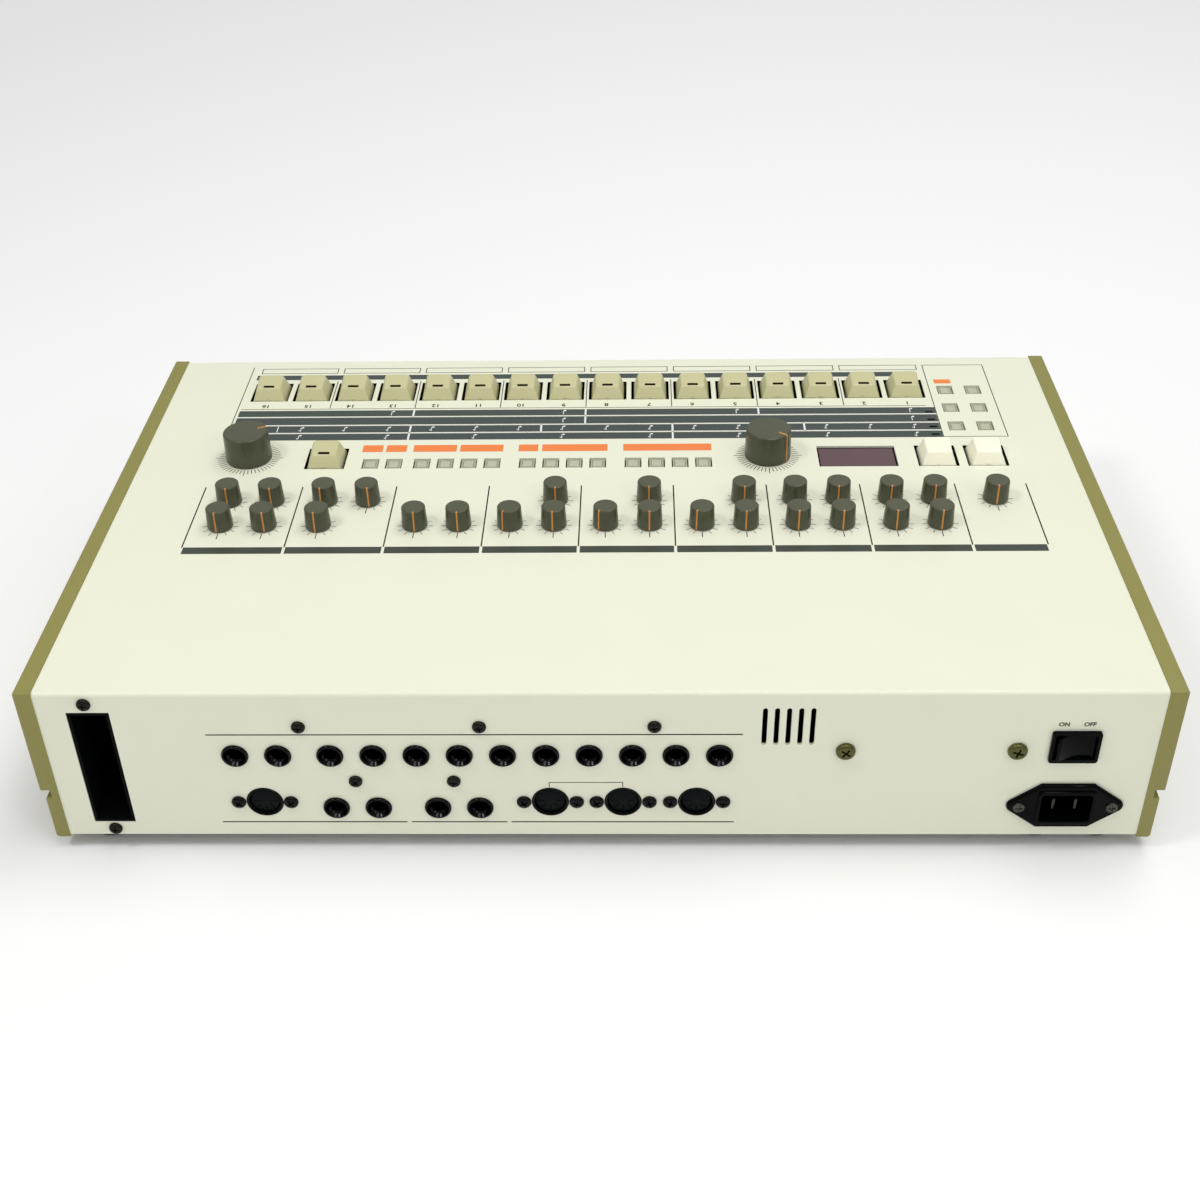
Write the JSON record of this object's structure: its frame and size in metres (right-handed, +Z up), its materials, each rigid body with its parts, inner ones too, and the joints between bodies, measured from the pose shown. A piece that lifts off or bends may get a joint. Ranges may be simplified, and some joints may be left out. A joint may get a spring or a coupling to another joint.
{
  "type": "drum machine",
  "caption": "Table-top drum machine with step keys, rotary knobs, small lamp buttons, a display window, end cheeks and a rear panel of jacks, DIN sockets, mains inlet and cartridge slot.",
  "frame": {"origin": "on the surface the feet stand on, under the middle of the bounding box", "axes": "+Z up, +X the player's right, -Y the player's side, +Y the rear panel with its sockets"},
  "size_m": [0.488, 0.3, 0.105],
  "materials": {
    "case_paint": "satin",
    "cover_steel": "satin",
    "cheek_plastic": "fine texture",
    "foot_rubber": "matt",
    "window_plastic": "gloss",
    "socket_black": "gloss",
    "rocker_black": "gloss",
    "slot_plastic": "matt",
    "blade_metal": "bright",
    "key_cream": "satin",
    "key_white": "satin",
    "button_smoke": "satin",
    "knob_grey": "satin",
    "board_green": "satin",
    "part_grey": "matt",
    "sink_aluminium": "satin",
    "core_iron": "varnished"
  },
  "bodies": {
    "case": {"ac_inlet": "socket_black", "ac_inlet_blades": "blade_metal", "bottom_cover": "cover_steel", "cartridge_slot": "slot_plastic", "din_sockets": "socket_black", "display_module": "part_grey", "display_window": "window_plastic", "heat_sink": "sink_aluminium", "jack_board": "board_green", "key_switches": "part_grey", "left_end_cheek": "cheek_plastic", "main_board": "board_green", "mains_transformer": "core_iron", "panel_board": "board_green", "phone_jacks": "socket_black", "potentiometers": "part_grey", "power_board": "board_green", "power_switch_body": "socket_black", "right_end_cheek": "cheek_plastic", "rubber_feet": "foot_rubber", "top_case": "case_paint"},
    "power_rocker": {"power_rocker": "rocker_black"},
    "start_key": {"start_key": "key_white"},
    "stop_key": {"stop_key": "key_white"},
    "enter_key": {"enter_key": "key_cream"},
    "step_keys_1_to_4": {"step_keys_1_to_4": "key_cream"},
    "step_keys_5_to_8": {"step_keys_5_to_8": "key_cream"},
    "step_keys_9_to_12": {"step_keys_9_to_12": "key_cream"},
    "step_keys_13_to_16": {"step_keys_13_to_16": "key_cream"},
    "function_buttons": {"function_buttons": "button_smoke"},
    "bank_buttons": {"bank_buttons": "button_smoke"},
    "volume_knob": {"volume_knob": "knob_grey"},
    "tempo_knob": {"tempo_knob": "knob_grey"},
    "accent_knob": {"accent_knob": "knob_grey"},
    "bass_tune_knob": {"bass_tune_knob": "knob_grey"},
    "bass_level_knob": {"bass_level_knob": "knob_grey"},
    "bass_attack_knob": {"bass_attack_knob": "knob_grey"},
    "bass_decay_knob": {"bass_decay_knob": "knob_grey"},
    "snare_tune_knob": {"snare_tune_knob": "knob_grey"},
    "snare_level_knob": {"snare_level_knob": "knob_grey"},
    "snare_tone_knob": {"snare_tone_knob": "knob_grey"},
    "snare_snappy_knob": {"snare_snappy_knob": "knob_grey"},
    "low_tom_tune_knob": {"low_tom_tune_knob": "knob_grey"},
    "low_tom_level_knob": {"low_tom_level_knob": "knob_grey"},
    "low_tom_decay_knob": {"low_tom_decay_knob": "knob_grey"},
    "mid_tom_tune_knob": {"mid_tom_tune_knob": "knob_grey"},
    "mid_tom_level_knob": {"mid_tom_level_knob": "knob_grey"},
    "mid_tom_decay_knob": {"mid_tom_decay_knob": "knob_grey"},
    "high_tom_tune_knob": {"high_tom_tune_knob": "knob_grey"},
    "high_tom_level_knob": {"high_tom_level_knob": "knob_grey"},
    "high_tom_decay_knob": {"high_tom_decay_knob": "knob_grey"},
    "rim_level_knob": {"rim_level_knob": "knob_grey"},
    "clap_level_knob": {"clap_level_knob": "knob_grey"},
    "hi_hat_level_knob": {"hi_hat_level_knob": "knob_grey"},
    "closed_hat_decay_knob": {"closed_hat_decay_knob": "knob_grey"},
    "open_hat_decay_knob": {"open_hat_decay_knob": "knob_grey"},
    "crash_level_knob": {"crash_level_knob": "knob_grey"},
    "ride_level_knob": {"ride_level_knob": "knob_grey"},
    "crash_tune_knob": {"crash_tune_knob": "knob_grey"},
    "ride_tune_knob": {"ride_tune_knob": "knob_grey"}
  },
  "joints": [
    {"name": "power_rocker_tilt", "type": "hinge", "parent": "case", "child": "power_rocker", "pos_m": [-0.2014, 0.1453, 0.0598], "axis": [0, 0, -1], "range_deg": [0, 18]},
    {"name": "start_key_press", "type": "slide", "parent": "case", "child": "start_key", "axis": [0, 0, -1], "range_m": [0, 0.0035], "stiffness_N_per_m": 100, "springref_m": -0.005},
    {"name": "stop_key_press", "type": "slide", "parent": "case", "child": "stop_key", "axis": [0, 0, -1], "range_m": [0, 0.0035], "stiffness_N_per_m": 100, "springref_m": -0.005},
    {"name": "enter_key_press", "type": "slide", "parent": "case", "child": "enter_key", "axis": [0, 0, -1], "range_m": [0, 0.0035], "stiffness_N_per_m": 100, "springref_m": -0.005},
    {"name": "step_keys_1_to_4_press", "type": "slide", "parent": "case", "child": "step_keys_1_to_4", "axis": [0, 0, -1], "range_m": [0, 0.0035], "stiffness_N_per_m": 100, "springref_m": -0.005},
    {"name": "step_keys_5_to_8_press", "type": "slide", "parent": "case", "child": "step_keys_5_to_8", "axis": [0, 0, -1], "range_m": [0, 0.0035], "stiffness_N_per_m": 100, "springref_m": -0.005},
    {"name": "step_keys_9_to_12_press", "type": "slide", "parent": "case", "child": "step_keys_9_to_12", "axis": [0, 0, -1], "range_m": [0, 0.0035], "stiffness_N_per_m": 100, "springref_m": -0.005},
    {"name": "step_keys_13_to_16_press", "type": "slide", "parent": "case", "child": "step_keys_13_to_16", "axis": [0, 0, -1], "range_m": [0, 0.0035], "stiffness_N_per_m": 100, "springref_m": -0.005},
    {"name": "function_buttons_press", "type": "slide", "parent": "case", "child": "function_buttons", "axis": [0, 0, -1], "range_m": [0, 0.0006], "stiffness_N_per_m": 300, "springref_m": -0.001},
    {"name": "bank_buttons_press", "type": "slide", "parent": "case", "child": "bank_buttons", "axis": [0, 0, -1], "range_m": [0, 0.0006], "stiffness_N_per_m": 300, "springref_m": -0.001},
    {"name": "volume_knob_turn", "type": "hinge", "parent": "case", "child": "volume_knob", "pos_m": [0.1812, -0.0434, 0.09], "axis": [0, 0, 1], "range_deg": [-265, 35]},
    {"name": "tempo_knob_turn", "type": "hinge", "parent": "case", "child": "tempo_knob", "pos_m": [-0.0836, -0.0434, 0.09], "axis": [0, 0, 1], "range_deg": [-200, 100]},
    {"name": "accent_knob_turn", "type": "hinge", "parent": "case", "child": "accent_knob", "pos_m": [-0.1912, -0.0013, 0.09], "axis": [0, 0, 1], "range_deg": [-150, 150]},
    {"name": "bass_tune_knob_turn", "type": "hinge", "parent": "case", "child": "bass_tune_knob", "pos_m": [-0.1612, 0.0205, 0.09], "axis": [0, 0, 1], "range_deg": [-150, 150]},
    {"name": "bass_level_knob_turn", "type": "hinge", "parent": "case", "child": "bass_level_knob", "pos_m": [-0.1402, 0.0205, 0.09], "axis": [0, 0, 1], "range_deg": [-150, 150]},
    {"name": "bass_attack_knob_turn", "type": "hinge", "parent": "case", "child": "bass_attack_knob", "pos_m": [-0.1612, -0.0013, 0.09], "axis": [0, 0, 1], "range_deg": [-150, 150]},
    {"name": "bass_decay_knob_turn", "type": "hinge", "parent": "case", "child": "bass_decay_knob", "pos_m": [-0.1402, -0.0013, 0.09], "axis": [0, 0, 1], "range_deg": [-150, 150]},
    {"name": "snare_tune_knob_turn", "type": "hinge", "parent": "case", "child": "snare_tune_knob", "pos_m": [-0.1148, 0.0205, 0.09], "axis": [0, 0, 1], "range_deg": [-150, 150]},
    {"name": "snare_level_knob_turn", "type": "hinge", "parent": "case", "child": "snare_level_knob", "pos_m": [-0.0938, 0.0205, 0.09], "axis": [0, 0, 1], "range_deg": [-150, 150]},
    {"name": "snare_tone_knob_turn", "type": "hinge", "parent": "case", "child": "snare_tone_knob", "pos_m": [-0.1148, -0.0013, 0.09], "axis": [0, 0, 1], "range_deg": [-150, 150]},
    {"name": "snare_snappy_knob_turn", "type": "hinge", "parent": "case", "child": "snare_snappy_knob", "pos_m": [-0.0938, -0.0013, 0.09], "axis": [0, 0, 1], "range_deg": [0, 300]},
    {"name": "low_tom_tune_knob_turn", "type": "hinge", "parent": "case", "child": "low_tom_tune_knob", "pos_m": [-0.0691, 0.0205, 0.09], "axis": [0, 0, 1], "range_deg": [-150, 150]},
    {"name": "low_tom_level_knob_turn", "type": "hinge", "parent": "case", "child": "low_tom_level_knob", "pos_m": [-0.0481, 0.0205, 0.09], "axis": [0, 0, 1], "range_deg": [-123, 177]},
    {"name": "low_tom_decay_knob_turn", "type": "hinge", "parent": "case", "child": "low_tom_decay_knob", "pos_m": [-0.0691, -0.0013, 0.09], "axis": [0, 0, 1], "range_deg": [-150, 150]},
    {"name": "mid_tom_tune_knob_turn", "type": "hinge", "parent": "case", "child": "mid_tom_tune_knob", "pos_m": [-0.0232, 0.0205, 0.09], "axis": [0, 0, 1], "range_deg": [-150, 150]},
    {"name": "mid_tom_level_knob_turn", "type": "hinge", "parent": "case", "child": "mid_tom_level_knob", "pos_m": [-0.0022, 0.0205, 0.09], "axis": [0, 0, 1], "range_deg": [-118, 182]},
    {"name": "mid_tom_decay_knob_turn", "type": "hinge", "parent": "case", "child": "mid_tom_decay_knob", "pos_m": [-0.0232, -0.0013, 0.09], "axis": [0, 0, 1], "range_deg": [-150, 150]},
    {"name": "high_tom_tune_knob_turn", "type": "hinge", "parent": "case", "child": "high_tom_tune_knob", "pos_m": [0.0225, 0.0205, 0.09], "axis": [0, 0, 1], "range_deg": [-150, 150]},
    {"name": "high_tom_level_knob_turn", "type": "hinge", "parent": "case", "child": "high_tom_level_knob", "pos_m": [0.0435, 0.0205, 0.09], "axis": [0, 0, 1], "range_deg": [-119, 181]},
    {"name": "high_tom_decay_knob_turn", "type": "hinge", "parent": "case", "child": "high_tom_decay_knob", "pos_m": [0.0225, -0.0013, 0.09], "axis": [0, 0, 1], "range_deg": [-150, 150]},
    {"name": "rim_level_knob_turn", "type": "hinge", "parent": "case", "child": "rim_level_knob", "pos_m": [0.0681, 0.0205, 0.09], "axis": [0, 0, 1], "range_deg": [-150, 150]},
    {"name": "clap_level_knob_turn", "type": "hinge", "parent": "case", "child": "clap_level_knob", "pos_m": [0.0891, 0.0205, 0.09], "axis": [0, 0, 1], "range_deg": [-150, 150]},
    {"name": "hi_hat_level_knob_turn", "type": "hinge", "parent": "case", "child": "hi_hat_level_knob", "pos_m": [0.1355, 0.0205, 0.09], "axis": [0, 0, 1], "range_deg": [-150, 150]},
    {"name": "closed_hat_decay_knob_turn", "type": "hinge", "parent": "case", "child": "closed_hat_decay_knob", "pos_m": [0.1145, -0.0013, 0.09], "axis": [0, 0, 1], "range_deg": [-150, 150]},
    {"name": "open_hat_decay_knob_turn", "type": "hinge", "parent": "case", "child": "open_hat_decay_knob", "pos_m": [0.1355, -0.0013, 0.09], "axis": [0, 0, 1], "range_deg": [-150, 150]},
    {"name": "crash_level_knob_turn", "type": "hinge", "parent": "case", "child": "crash_level_knob", "pos_m": [0.1617, 0.0205, 0.09], "axis": [0, 0, 1], "range_deg": [-150, 150]},
    {"name": "ride_level_knob_turn", "type": "hinge", "parent": "case", "child": "ride_level_knob", "pos_m": [0.1827, 0.0205, 0.09], "axis": [0, 0, 1], "range_deg": [-150, 150]},
    {"name": "crash_tune_knob_turn", "type": "hinge", "parent": "case", "child": "crash_tune_knob", "pos_m": [0.1617, -0.0013, 0.09], "axis": [0, 0, 1], "range_deg": [-150, 150]},
    {"name": "ride_tune_knob_turn", "type": "hinge", "parent": "case", "child": "ride_tune_knob", "pos_m": [0.1827, -0.0013, 0.09], "axis": [0, 0, 1], "range_deg": [-150, 150]}
  ]
}
